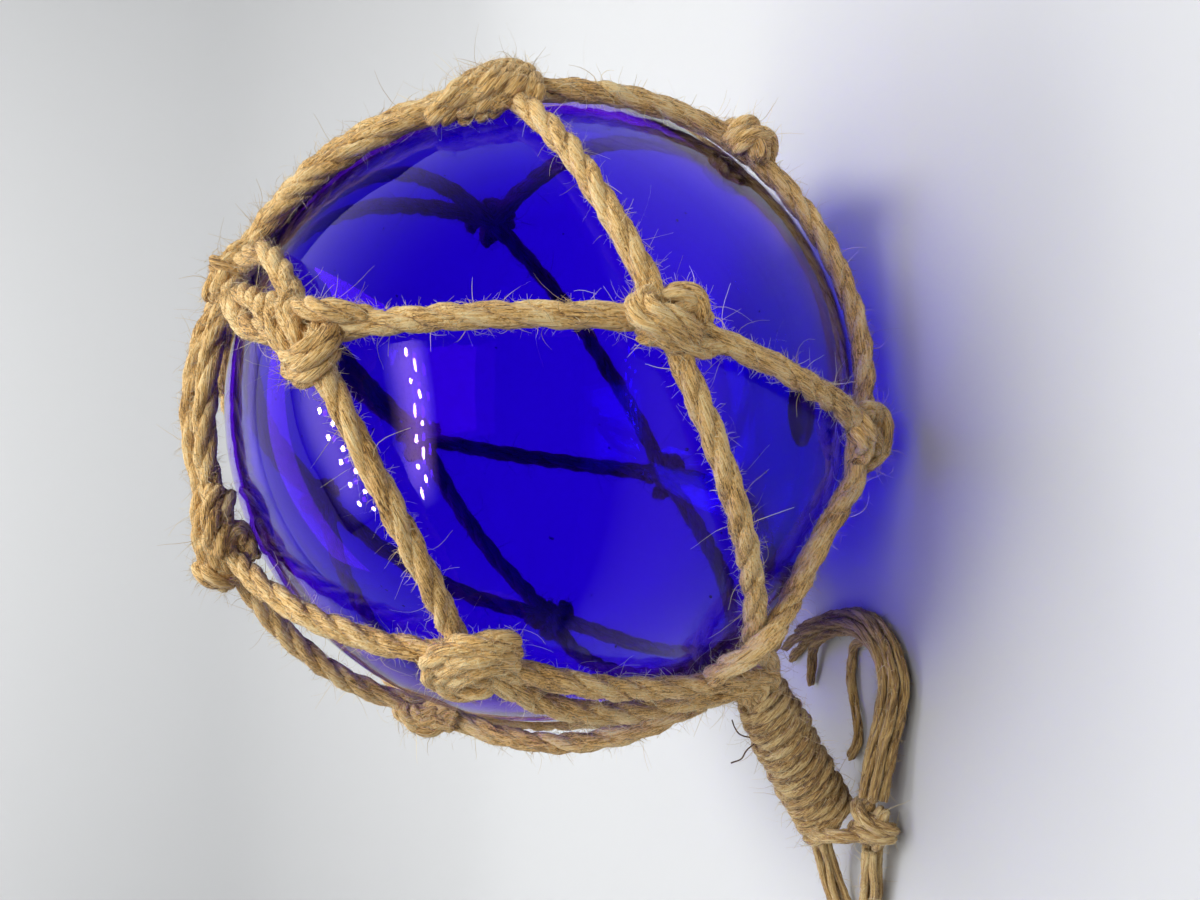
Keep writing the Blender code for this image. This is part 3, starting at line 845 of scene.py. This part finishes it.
drawnKnots = {
    "crown": [
        [(275, 225, 3), (258, 236, 5), (243, 248, 6), (229, 260, 6), (219, 274, 5.5), (213, 290, 4), (210, 303, 3)],
        [(268, 241, 3), (254, 247, 6), (240, 256, 7.5), (228, 269, 7), (222, 284, 6), (221, 300, 3.5)],
        [(264, 253, 3), (250, 259, 6.5), (240, 270, 7.2), (236, 282, 6.5), (240, 292, 4.5), (250, 299, 3)],
        [(212, 262, 3.5), (225, 266, 6.5), (240, 268, 7.8), (256, 266, 6.5), (269, 264, 4)],
        [(226, 276, 3), (236, 278, 3.5), (248, 280, 3)],
    ],
    "front_top": [
        [(289, 310, 3), (302, 308, 6), (320, 309, 7.2), (338, 311, 6.4), (356, 314, 4.6), (374, 316, 3)],
        [(295, 296, 3), (289, 304, 5), (288, 315, 6), (292, 325, 5.4), (300, 332, 3.4)],
        [(240, 292, 3), (256, 301, 4), (268, 315, 5.4), (277, 331, 6), (287, 347, 6), (297, 361, 5), (304, 372, 3)],
        [(270, 300, 3), (283, 311, 5), (293, 325, 6), (300, 340, 6.2), (304, 355, 5), (307, 366, 3)],
        [(323, 322, 3), (319, 337, 6), (309, 349, 7.4), (297, 356, 7), (286, 357, 4.5)],
        [(335, 323, 3), (331, 336, 5.6), (322, 349, 7), (310, 361, 7), (299, 369, 5), (290, 371, 2.5)],
        [(334, 342, 3), (328, 354, 5), (318, 366, 5.6), (307, 375, 5), (298, 378, 3)],
    ],
    "right_top": [
        [(428, 123, 2.5), (438, 112, 4.5), (452, 97, 5.8), (468, 84, 6), (483, 75, 4.5)],
        [(441, 124, 2.4), (450, 111, 5), (464, 95, 6.6), (479, 81, 7), (492, 71, 5.5), (500, 66, 4)],
        [(458, 125, 2.4), (467, 111, 5), (480, 96, 6.8), (492, 82, 7.4), (503, 71, 6), (511, 66, 4)],
        [(474, 119, 2.4), (483, 107, 5), (494, 95, 6.8), (504, 83, 7.2), (512, 73, 6), (519, 68, 4)],
        [(487, 114, 2.5), (498, 103, 5), (509, 94, 6.4), (518, 84, 6.4), (525, 75, 5), (530, 71, 3.5)],
        [(524, 70, 4), (531, 79, 5), (534, 90, 5), (531, 100, 4), (523, 107, 2.5)],
        [(470, 104, 3), (487, 93, 3.4), (504, 86, 3.4), (520, 86, 3)],
        [(476, 80, 2, -1), (484, 75, 3, -2), (497, 70, 3, -3), (510, 69, 3, -3), (523, 71, 3, -3),
         (533, 76, 2, -1)],
    ],
    "front_middle": [
        [(641, 299, 2.5), (634, 308, 5), (641, 318, 6.6), (655, 324, 7.2), (670, 331, 7), (684, 338, 5.6),
         (693, 343, 3)],
        [(652, 293, 2.5), (645, 300, 5.4), (650, 309, 7), (664, 315, 7.6), (679, 322, 7.2), (692, 331, 5.4),
         (698, 338, 3)],
        [(662, 299, 3), (673, 294, 5), (686, 293, 5.4), (695, 297, 5), (700, 306, 4.6), (702, 316, 4),
         (707, 325, 3)],
        [(636, 337, 3), (651, 334, 4.4), (664, 338, 5.2), (678, 344, 5), (693, 348, 4), (712, 347, 3),
         (728, 341, 2.7)],
        [(655, 330, 3), (668, 322, 4), (682, 314, 4), (692, 310, 3)],
    ],
    "front_low": [
        [(842, 404, 3), (855, 417, 5), (866, 429, 6.4), (874, 441, 6), (876, 452, 4.4), (871, 461, 3)],
        [(858, 412, 3), (867, 410, 4.6), (877, 414, 5), (883, 425, 4.8), (884, 438, 4.4), (880, 451, 4),
         (870, 462, 3.4), (858, 466, 2.5)],
        [(850, 428, 3.4), (860, 438, 5.4), (865, 449, 5), (861, 459, 4), (851, 465, 2.5)],
    ],
    "left_top": [
        [(204, 478, 5, -2), (201, 502, 6, -1), (201, 524, 7, 0), (203, 544, 7, 0), (208, 562, 6, 0),
         (218, 578, 5, 0), (230, 588, 4, 0)],
        [(216, 484, 5, 1), (212, 506, 7, 3), (211, 526, 8, 4), (213, 546, 8, 4), (218, 562, 7, 3),
         (226, 576, 5, 2)],
        [(228, 490, 5, 0), (225, 508, 6, 2), (222, 526, 7, 3), (222, 544, 7, 3), (226, 560, 6, 2),
         (232, 574, 5, 1)],
        [(199, 566, 6, -3), (205, 574, 7, 1), (215, 580, 7, 3), (227, 580, 6, 2), (236, 576, 4, -2)],
        [(222, 553, 5, 1), (227, 540, 6, 2), (236, 530, 6, 2), (246, 534, 5, 1), (255, 546, 4, 0),
         (263, 557, 3.4, 0)],
    ],
    "front_left": [
        [(513, 641, 2.6), (506, 641, 5), (492, 642, 6), (475, 644, 6.6), (455, 647, 6.4), (438, 654, 5.6),
         (429, 665, 4.6), (434, 678, 4.2), (447, 687, 4.2), (463, 691, 4.2), (480, 688, 4), (493, 682, 3)],
        [(515, 653, 2.6), (508, 653, 5.4), (494, 653, 6.6), (477, 656, 7.2), (457, 663, 6.8), (444, 672, 5.2),
         (439, 682, 3)],
        [(514, 664, 2.6), (507, 664, 5), (493, 665, 6), (478, 669, 6.4), (461, 677, 5.6), (450, 684, 3.6)],
        [(446, 668, 3), (461, 672, 4), (478, 677, 4.2), (492, 675, 3)],
        [(487, 676, 3), (503, 683, 3.8), (520, 691, 3.4), (536, 698, 2.8)],
    ],
    "left_middle": [
        [(401, 702, 3), (403, 712, 5.4), (411, 717, 6), (423, 714, 5.6), (436, 707, 4.4), (445, 702, 2.6)],
        [(406, 715, 3.6), (414, 723, 5.4), (426, 722, 6), (438, 715, 5.4), (449, 707, 3.4)],
        [(415, 726, 3.6), (428, 729, 5), (440, 724, 5), (452, 716, 4), (459, 711, 2.6)],
        [(408, 708, 3), (424, 717, 3.6), (442, 722, 3.6), (456, 724, 3)],
    ],
}


def knotTurns(centre, along, out, turns, rng, scale=1.0):
    # turns of rope drawn tight over the crossing, from one side of it to the other, and a heart under them
    along = unit(along - out * (along @ out))
    across = np.cross(out, along)
    half = knotShape["height"] / 2
    rise = half - knotShape["radius"] * knotShape["sink"]
    even, much = knotShape["slant"]
    lines = []
    for turn in range(turns):
        shift = (turn - (turns - 1) / 2) * knotShape["pitch"]
        slant = math.radians(even[turn % 2] + rng.uniform(-much, much))
        over = across * math.cos(slant) + along * math.sin(slant)
        reach = knotShape["width"] / 2 + knotShape["radius"] * knotShape["wide"]
        points = []
        for share in np.linspace(-knotShape["past"], 1 + knotShape["past"], knotShape["steps"]):
            t = math.pi * share
            high = (rise * knotShape["bulge"] * math.sin(t)
                    - (half - knotShape["radius"]) * (1 - math.sin(t)))
            points.append(centre + scale * (along * shift + over * reach * math.cos(t) + out * high))
        lines.append((smoothLine(points, knotShape["step"]),
                      scale * knotShape["radius"] * rng.uniform(*knotShape["thick"])))
    length = knotShape["length"] + (turns - 2) * knotShape["pitch"]
    for side in (-1, 1):
        points = [centre + scale * (along * length * share + across * side * knotShape["heartApart"]
                                    + out * (knotShape["heartHigh"] * half * (1 - 4 * share ** 2)
                                             - knotShape["heartSunk"]))
                  for share in knotShape["heart"]]
        lines.append((smoothLine(points, knotShape["step"]), scale * net["radius"]))
    return lines


def outFrom(line):
    return unit(line[0] - ballCentre)


def makeNet(rng):
    strands = netLines(rng) + gatheredLines(rng)
    tubes = []
    for line, radius in strands:
        tubes += layRope(line, outFrom(line), radius, net["rope"], rng)
    addPiece("net_strands", meshFromTubes("net_strands", tubes), ropeJute, ["rope_net"])
    knots = []
    for name, (angles, toward, turns) in net["knots"].items():
        out = direction(angles)
        slack = net["slack"].get(name, 0.0)
        centre = ballCentre + out * (ballRadius + clearance + knotShape["height"] / 2 + slack)
        onRim = centre if name in knotShape["rim"] else None
        for turn in drawnKnots.get(name, ()):
            line = smoothLine([overGlass(*place, knot=onRim) for place in turn], knotShape["step"])
            knots.append((keepOff(line, knotShape["radius"] * knotShape["clear"]),
                          knotShape["radius"] * rng.uniform(*knotShape["drawnThick"])))
        if name in drawnKnots:
            continue
        knots += knotTurns(centre, placeOf(toward) - out, out, turns, rng)
    tubes = []
    for line, radius in knots:
        tubes += layRope(line, outFrom(line), radius, knotShape["rope"], rng)
    addPiece("net_knots", meshFromTubes("net_knots", tubes), ropeJute, ["rope_net"])
    print("net made")
    for kind in fuzzKinds:
        growFuzz("net_fibres_" + kind, strands + knots, kind, rng)


makeNet(np.random.default_rng(31))


# The whipping round the neck, and the knot at its end

whipping = {
    "from": 1.4,       # mm along the neck; the first turns pull the ropes in close to the glass
    "turns": 14,
    "waist": 0.76,     # share of the radius that the first turn has
    "radius": 1.72, "tilt": 2.2, "tiltTurn": 0.6, "uneven": 0.42,
    "cord": {"strands": 2, "strandShare": 0.64, "lay": 17.0, "loose": 0.8, "uneven": 0.10, "ridges": 0.12,
             "sides": 12, "taper": (1.5, 0)},
    "step": 0.7,
    "every": 13.0,     # mm between the places where it's uneven
    "wound": 0.25,     # share of its turns until the full radius
    "fuzz": {"long": 0.25, "short": 0.8},
}
# two stiff dark fibres that stick out by the first turns: places in the picture, mm nearer than the neck
strayBark = {
    "lines": [
        [(732, 720, -5), (735, 728, -3), (741, 735, -2.4), (757, 739, -2.8)],
        [(758, 741, -2.8), (747, 750, -3), (741, 759, -4), (731, 763, -5)],
    ],
    "radius": 0.18, "step": 0.5,
    "fibre": {"strands": 1, "strandShare": 1.0, "lay": 20.0, "loose": 0.0, "uneven": 0.0, "ridges": 0.2,
              "sides": 6},
}


def makeWhipping(rng):
    # soft two-ply cord wound tight on the slant, each turn pressed against the last
    middle = neck["diameter"] / 2 - whipping["radius"]
    count = int(2 * math.pi * middle * whipping["turns"] / whipping["step"])
    turn = np.linspace(0, 2 * math.pi * whipping["turns"], count)
    uneven = wander(rng, turn * middle, whipping["every"], 2) * whipping["uneven"]
    tilt = whipping["tilt"] * np.cos(turn - whipping["tiltTurn"])
    last = neck["start"] + neck["length"] - whipping["radius"]
    along = whipping["from"] + whipping["radius"]
    out = middle * np.interp(turn / turn[-1], [0, whipping["wound"]], [whipping["waist"], 1.0]) + uneven[:, 1]
    along = along + (last - along) * turn / turn[-1] + tilt + uneven[:, 0]
    line = (neckStart + neckAxis * along[:, None] + neckTop * (out * np.cos(turn))[:, None]
            + neckSide * (out * np.sin(turn))[:, None])
    line = evenLine(line, whipping["step"])
    tubes = layRope(line, neckAxis, whipping["radius"], whipping["cord"], rng)
    addPiece("whipping_cord", meshFromTubes("whipping_cord", tubes), yarnJute, ["neck_whipping"])
    return line


def makeEndKnot(rng):
    out = unit(np.array(endKnot["out"]))
    lines = knotTurns(endKnotCentre, np.array(endKnot["along"]), out, endKnot["turns"], rng, endKnot["scale"])
    shares = np.linspace(0, 1, len(endKnot["bridge"]))
    bridge = smoothLine([atDepth(x, y, neckEnd + (endKnotCentre - neckEnd) * share, nearer)
                         for (x, y, nearer), share in zip(endKnot["bridge"], shares)], knotShape["step"])
    lines.append((bridge, whipping["radius"]))
    lines = [(keepOff(line, radius * endKnot["clear"]), radius) for line, radius in lines]
    tubes = []
    for line, radius in lines:
        tubes += layRope(line, out, radius, knotShape["rope"], rng)
    addPiece("end_knot_turns", meshFromTubes("end_knot_turns", tubes), yarnJute, ["end_knot"])
    return lines


def makeNeck(rng):
    line = makeWhipping(rng)
    lines = makeEndKnot(rng) + [(line, whipping["radius"])]
    tubes = []
    for points in strayBark["lines"]:
        line = smoothLine([atDepth(x, y, neckStart, nearer) for x, y, nearer in points], strayBark["step"])
        tubes += layRope(line, neckAxis, strayBark["radius"], strayBark["fibre"], rng)
    addPiece("stray_bark", meshFromTubes("stray_bark", tubes), looseFibre("dark_jute_bark", barkLook))
    for kind, share in whipping["fuzz"].items():
        growFuzz("neck_fibres_" + kind, lines, kind, rng, share)


makeNeck(np.random.default_rng(41))
print("neck made")


# Floor, backdrop and light

stage = {
    "floor": "#d2d3d4",
    "back": 700.0,        # mm behind the ball where the floor turns up
    "rise": 250.0,        # the turn's radius
    "high": 1500.0,
    "wide": 5000.0,
    "front": 2500.0,
    # where the board in front of the ball is painted dark, and its share of the colour there: painted shade, so
    # that the glass has something dark to reflect. Views from the side show it
    "paintedShade": (-420.0, -130.0, 0.05),
    "arc": 12, "roughness": 0.7, "specular": 0.2,
}
lamps = {
    # a strip of two rows of small lamps, as places over the ball's middle, a metre up
    "strip": [(122, 18), (-15, -33), (-137, -81), (-260, -137), (-380, -156), (-495, -168)],
    "stripGap": (-62, 90),
    "stripHeight": 1000.0,
    "stripRadius": 15.0,
    "stripWatts": 1.2,
    # a second strip, further to the front: two rows of short lamps
    "streak": [(440, -642), (-37, -791), (-634, -732)],
    "streakCount": 6,
    "streakGap": 62.0,
    "streakWatts": 0.60,
    "streakSize": (0.032, 0.030, 0.024),       # metres: the shortest, what the next two add, the width
    # the diffusers round the strips, which give the haze on the glass: width, strength
    "haze": {"strip": (420.0, 4.5), "streak": (460.0, 9.0)},
    "hazePast": (4, 3),      # how far it runs on past the strip's ends, in spans of five points
    "hazeStep": 30.0, "hazeOver": 40.0, "hazeColumns": 9, "hazeEnds": 4,
    # soft boxes that light the board and the rope but aren't seen in the glass: place, aim, size, watts
    "boxes": {
        "overhead": ((450, -60, 1100), (130, -30, 74), (0.95, 0.30), 9.0),
        "backdrop": ((-300, 450, 1250), (-350, 1000, 600), (1.40, 0.50), 12.0),
        "front": ((100, -750, 850), (0, 0, 74), (0.60, 0.40), 3.4),
        "fill": ((150, -800, 850), (60, 0, 74), (0.80, 0.60), 3.0),
    },
    "offBoard": ["front"],      # lamps that leave the board alone, so that the shadow stays deep
    # the blue light that the ball gathers on the board under it: height, radius of its circle, watts, colour,
    # softness of its edge
    "glow": (1400.0, 74.0, 16.0, (0.80, 0.06, 1.0), 0.6),
    # the room: light behind the ball, dark on the side that the picture is taken from
    "room": {"colour": "#eef0f4", "dark": 0.02, "light": 1.30, "from": -0.5, "to": 0.7},
}


def makeStage():
    profile = [(-stage["front"], 0.0), (stage["back"], 0.0)]
    for step in range(1, stage["arc"] + 1):
        turn = math.radians(90 * step / stage["arc"])
        profile.append((stage["back"] + stage["rise"] * math.sin(turn), stage["rise"] * (1 - math.cos(turn))))
    profile.append((stage["back"] + stage["rise"], stage["high"]))
    corners = [(side * stage["wide"] * mm, y * mm, z * mm) for y, z in profile for side in (-0.5, 0.5)]
    faces = [(2 * k, 2 * k + 1, 2 * k + 3, 2 * k + 2) for k in range(len(profile) - 1)]
    mesh = bpy.data.meshes.new("sweep")
    mesh.from_pydata(corners, [], faces)
    mesh.shade_smooth()
    sweep = addObject("sweep", mesh)
    made, tree, shader = blankMaterial("matt_white_board")
    place = addNode(tree, "ShaderNodeTexCoord").outputs["Object"]
    depth = addNode(tree, "ShaderNodeSeparateXYZ", {0: place}).outputs["Y"]
    # painted shade: the board's colour darkens toward the front of the ball
    near, far, dark = stage["paintedShade"]
    lit = addNode(tree, "ShaderNodeMapRange", {"Value": depth, "From Min": near * mm, "From Max": far * mm,
                                               "To Min": dark, "To Max": 1.0}, interpolation_type="SMOOTHSTEP")
    colour = addNode(tree, "ShaderNodeVectorMath", {0: fromHex(stage["floor"])[:3], 1: lit.outputs["Result"]},
                     operation="MULTIPLY")
    tree.links.new(colour.outputs[0], shader.inputs["Base Color"])
    shader.inputs["Roughness"].default_value = stage["roughness"]
    shader.inputs["Specular IOR Level"].default_value = stage["specular"]
    mesh.materials.append(made)
    return sweep


def addLamp(kind, name, at, aim, watts, **settings):
    lamp = bpy.data.lights.new(name, kind)
    lamp.energy = watts
    for key, value in settings.items():
        setattr(lamp, key, value)
    made = addObject(name, lamp)
    made.location = Vector(at) * mm
    made.rotation_euler = (Vector(aim) - Vector(at)).to_track_quat("-Z", "Y").to_euler()
    return made


def stripLine(name):
    high = ballCentre[2] + lamps["stripHeight"]
    return smoothLine([(x, y, high) for x, y in lamps[name]], 10.0)


def makeHaze(name, width, strength):
    # a diffuser over a strip of lamps, bright in its middle and nothing at its edges; only the glass sees it
    line = stripLine(name)
    before, after = lamps["hazePast"]
    columns = lamps["hazeColumns"]
    line = np.vstack([line[:1] - (line[5:6] - line[:1]) * before, line,
                      line[-1:] + (line[-1:] - line[-6:-5]) * after])
    line = evenLine(line, lamps["hazeStep"]) + np.array([0, 0, lamps["hazeOver"]])
    ways = np.gradient(line, axis=0)
    side = np.cross(ways / np.linalg.norm(ways, axis=1)[:, None], [0, 0, 1.0])
    shares = np.linspace(-1, 1, columns)
    corners = line[:, None, :] + side[:, None, :] * (shares * width / 2)[None, :, None]
    index = np.arange(corners.shape[0] * columns).reshape(-1, columns)
    faces = np.stack([index[:-1, :-1], index[1:, :-1], index[1:, 1:], index[:-1, 1:]], axis=-1).reshape(-1, 4)
    mesh = bpy.data.meshes.new(name + "_haze")
    mesh.from_pydata((corners.reshape(-1, 3) * mm).tolist(), [], faces.tolist())
    ends = np.minimum(1, lamps["hazeEnds"] * np.minimum(np.linspace(0, 1, len(line)), np.linspace(1, 0, len(line))))
    bright = ((1 - shares ** 2) ** 2)[None, :] * ends[:, None]
    mesh.attributes.new("bright", "FLOAT", "POINT").data.foreach_set("value", bright.astype(np.float32).ravel())
    made, tree, shader = blankMaterial("lamp_diffuser")
    level = addNode(tree, "ShaderNodeAttribute", attribute_name="bright").outputs["Fac"]
    level = addNode(tree, "ShaderNodeMath", {0: level, 1: strength}, operation="MULTIPLY").outputs[0]
    shader.inputs["Base Color"].default_value = (0, 0, 0, 1)
    shader.inputs["Specular IOR Level"].default_value = 0.0
    shader.inputs["Emission Color"].default_value = fromHex("#ffffff")
    tree.links.new(level, shader.inputs["Emission Strength"])
    mesh.materials.append(made)
    haze = addObject(name + "_haze", mesh)
    for ray in ("camera", "diffuse", "transmission", "shadow"):
        setattr(haze, "visible_" + ray, False)


def makeGlow(board):
    # glass throws a patch of its own colour under itself; the render's rays rarely find it, so a lamp that
    # only the board sees gives it
    height, radius, watts, colour, soft = lamps["glow"]
    glow = addLamp("SPOT", "glow", (0, 0, height), (0, 0, 0), watts, color=colour, spot_blend=soft,
                   spot_size=2 * math.atan(radius / height), shadow_soft_size=0.0)
    linkLamp(glow, "receiver", [board], "INCLUDE")
    linkLamp(glow, "blocker", [], "INCLUDE")


def linkLamp(lamp, part, things, state):
    group = bpy.data.collections.new(lamp.name + "_" + part)
    for thing in things:
        group.objects.link(thing)
    for row in group.collection_objects:
        row.light_linking.link_state = state
    setattr(lamp.light_linking, part + "_collection", group)


def makeLight(board):
    high = ballCentre[2] + lamps["stripHeight"]
    for name, (at, aim, size, watts) in lamps["boxes"].items():
        made = addLamp("AREA", name, at, aim, watts, shape="RECTANGLE", size=size[0], size_y=size[1])
        made.visible_glossy = False
        if name in lamps["offBoard"]:
            linkLamp(made, "receiver", [board], "EXCLUDE")
    gapX, gapY = lamps["stripGap"]
    for row in (0, 1):
        for index, (x, y) in enumerate(lamps["strip"]):
            at = (x + row * gapX, y - row * gapY, high)
            made = addLamp("POINT", f"strip_{row}_{index}", at, ballCentre, lamps["stripWatts"],
                           shadow_soft_size=lamps["stripRadius"] * mm)
            made.visible_diffuse = False
    line = stripLine("streak")
    short, more, wide = lamps["streakSize"]
    places = np.linspace(2, len(line) - 3, 2 * lamps["streakCount"]).astype(int)
    for index, place in enumerate(places):
        along = Vector(line[place + 2] - line[place - 2]).normalized()
        side = along.cross(Vector((0, 0, 1))) * (lamps["streakGap"] / 2 if index % 2 else -lamps["streakGap"] / 2)
        at = Vector(line[place]) + side
        made = addLamp("AREA", "streak", at, ballCentre, lamps["streakWatts"], shape="ELLIPSE",
                       size=short + more * (index % 3), size_y=wide)
        made.visible_diffuse = False
        down = (Vector(ballCentre) - at).normalized()
        side = down.cross(along).normalized()
        made.rotation_euler = Matrix((side.cross(-down), side, -down)).transposed().to_euler()
    for name, (width, strength) in lamps["haze"].items():
        makeHaze(name, width, strength)
    world = bpy.context.scene.world or bpy.data.worlds.new("room")
    bpy.context.scene.world = world
    world.use_nodes = True
    room = lamps["room"]
    tree = world.node_tree
    place = addNode(tree, "ShaderNodeTexCoord").outputs["Generated"]
    depth = addNode(tree, "ShaderNodeSeparateXYZ", {0: place}).outputs["Y"]
    bright = addNode(tree, "ShaderNodeMapRange", {"Value": depth, "From Min": room["from"], "From Max": room["to"],
                                                  "To Min": room["dark"], "To Max": room["light"]},
                     interpolation_type="SMOOTHSTEP")
    ground = tree.nodes["Background"]
    ground.inputs["Color"].default_value = fromHex(room["colour"])
    tree.links.new(bright.outputs["Result"], ground.inputs["Strength"])
    bpy.context.scene.view_settings.view_transform = "Standard"
    bpy.context.scene.cycles.blur_glossy = 0.0       # keeps the blue light that falls through the glass


board = makeStage()
makeLight(board)
makeGlow(board)
print("stage and light made")
